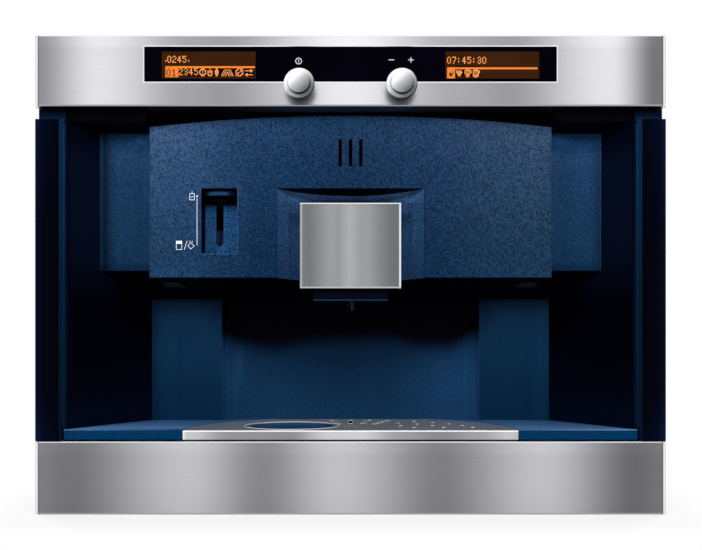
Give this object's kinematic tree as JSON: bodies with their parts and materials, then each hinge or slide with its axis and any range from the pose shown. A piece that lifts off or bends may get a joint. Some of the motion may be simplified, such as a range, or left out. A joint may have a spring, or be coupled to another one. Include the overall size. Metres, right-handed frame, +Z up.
{
  "type": "built-in coffee machine",
  "caption": "Built-in capsule coffee machine: steel fascias, glossy trims, an open cup niche, and a pull-out brewing drawer with a drop-down spout and release lever.",
  "frame": {"origin": "underside of the base pan, on the centre line, in the plane where the rear faces of the two columns bear on the cabinet", "axes": "+X to the user's right, +Y into the niche, +Z up"},
  "size_m": [0.595, 0.3442, 0.452],
  "materials": {
    "front_steel": "brushed along the front",
    "sheet_steel": "zinc-coated, satin",
    "trim_gloss": "high gloss",
    "blue_moulding": "fine texture, satin",
    "dark_moulding": "satin",
    "window_glass": "tinted, polished",
    "lcd": "backlit amber",
    "satin_knob": "satin",
    "black_plastic": "satin",
    "circuit_board": "solder mask",
    "slide_steel": "bright zinc",
    "cast_aluminium": "as cast",
    "clear_plastic": "clear, tinted",
    "grey_plastic": "satin",
    "polished_steel": "polished"
  },
  "bodies": {
    "housing": {"base_pan": "sheet_steel", "bottom_fascia": "front_steel", "bottom_rail": "sheet_steel", "control_board": "circuit_board", "display_window": "window_glass", "fixed_runners": "slide_steel", "knob_encoders": "black_plastic", "left_column": "blue_moulding", "left_display": "lcd", "left_niche_wall": "dark_moulding", "left_side_panel": "sheet_steel", "left_trim": "trim_gloss", "left_wing": "blue_moulding", "niche_back": "blue_moulding", "niche_soffit": "dark_moulding", "partition": "sheet_steel", "power_inlet": "black_plastic", "power_supply": "black_plastic", "rear_panel": "sheet_steel", "right_column": "blue_moulding", "right_display": "lcd", "right_niche_wall": "dark_moulding", "right_side_panel": "sheet_steel", "right_trim": "trim_gloss", "right_wing": "blue_moulding", "runner_brackets": "sheet_steel", "top_fascia": "front_steel", "top_panel": "sheet_steel", "top_rail": "sheet_steel", "tray_shelf": "dark_moulding"},
    "brew_drawer": {"head_cover": "blue_moulding", "lever_guide": "black_plastic", "spout_guide": "black_plastic", "drawer_chassis": "sheet_steel", "drawer_rails": "slide_steel", "water_tank": "clear_plastic", "capsule_bin": "grey_plastic", "magazine_base": "grey_plastic", "magazine_motor": "cast_aluminium", "brew_group": "black_plastic", "thermoblock": "cast_aluminium", "pump": "black_plastic"},
    "lever": {"release_lever": "blue_moulding"},
    "spout": {"spout_plate": "front_steel", "spout_body": "blue_moulding", "spout_nozzle": "polished_steel"},
    "magazine": {"capsule_magazine": "grey_plastic"},
    "left_push": {"left_sleeve": "black_plastic"},
    "left_dial": {"left_knob": "satin_knob"},
    "right_push": {"right_sleeve": "black_plastic"},
    "right_dial": {"right_knob": "satin_knob"},
    "tray": {"drip_tray": "blue_moulding", "cup_plate": "front_steel", "cup_rest": "blue_moulding"}
  },
  "joints": [
    {"name": "drawer_slide", "type": "slide", "parent": "housing", "child": "brew_drawer", "axis": [0, -1, 0], "range_m": [0, 0.2]},
    {"name": "lever_slide", "type": "slide", "parent": "brew_drawer", "child": "lever", "axis": [0, 0, -1], "range_m": [0, 0.043], "stiffness_N_per_m": 60, "springref_m": -0.02},
    {"name": "spout_slide", "type": "slide", "parent": "brew_drawer", "child": "spout", "axis": [0, 0, -1], "range_m": [0, 0.038]},
    {"name": "magazine_turn", "type": "hinge", "parent": "brew_drawer", "child": "magazine", "pos_m": [0, 0.165, 0.3], "axis": [0, 0, 1], "continuous": true},
    {"name": "left_push", "type": "slide", "parent": "housing", "child": "left_push", "axis": [0, 1, 0], "range_m": [0, 0.0025], "stiffness_N_per_m": 600, "springref_m": -0.002},
    {"name": "left_turn", "type": "hinge", "parent": "left_push", "child": "left_dial", "pos_m": [-0.0475, -0.03, 0.4013], "axis": [0, -1, 0], "continuous": true},
    {"name": "right_push", "type": "slide", "parent": "housing", "child": "right_push", "axis": [0, 1, 0], "range_m": [0, 0.0025], "stiffness_N_per_m": 600, "springref_m": -0.002},
    {"name": "right_turn", "type": "hinge", "parent": "right_push", "child": "right_dial", "pos_m": [0.0475, -0.03, 0.4013], "axis": [0, -1, 0], "continuous": true},
    {"name": "tray_slide", "type": "slide", "parent": "housing", "child": "tray", "axis": [0, -1, 0], "range_m": [0, 0.15]}
  ]
}
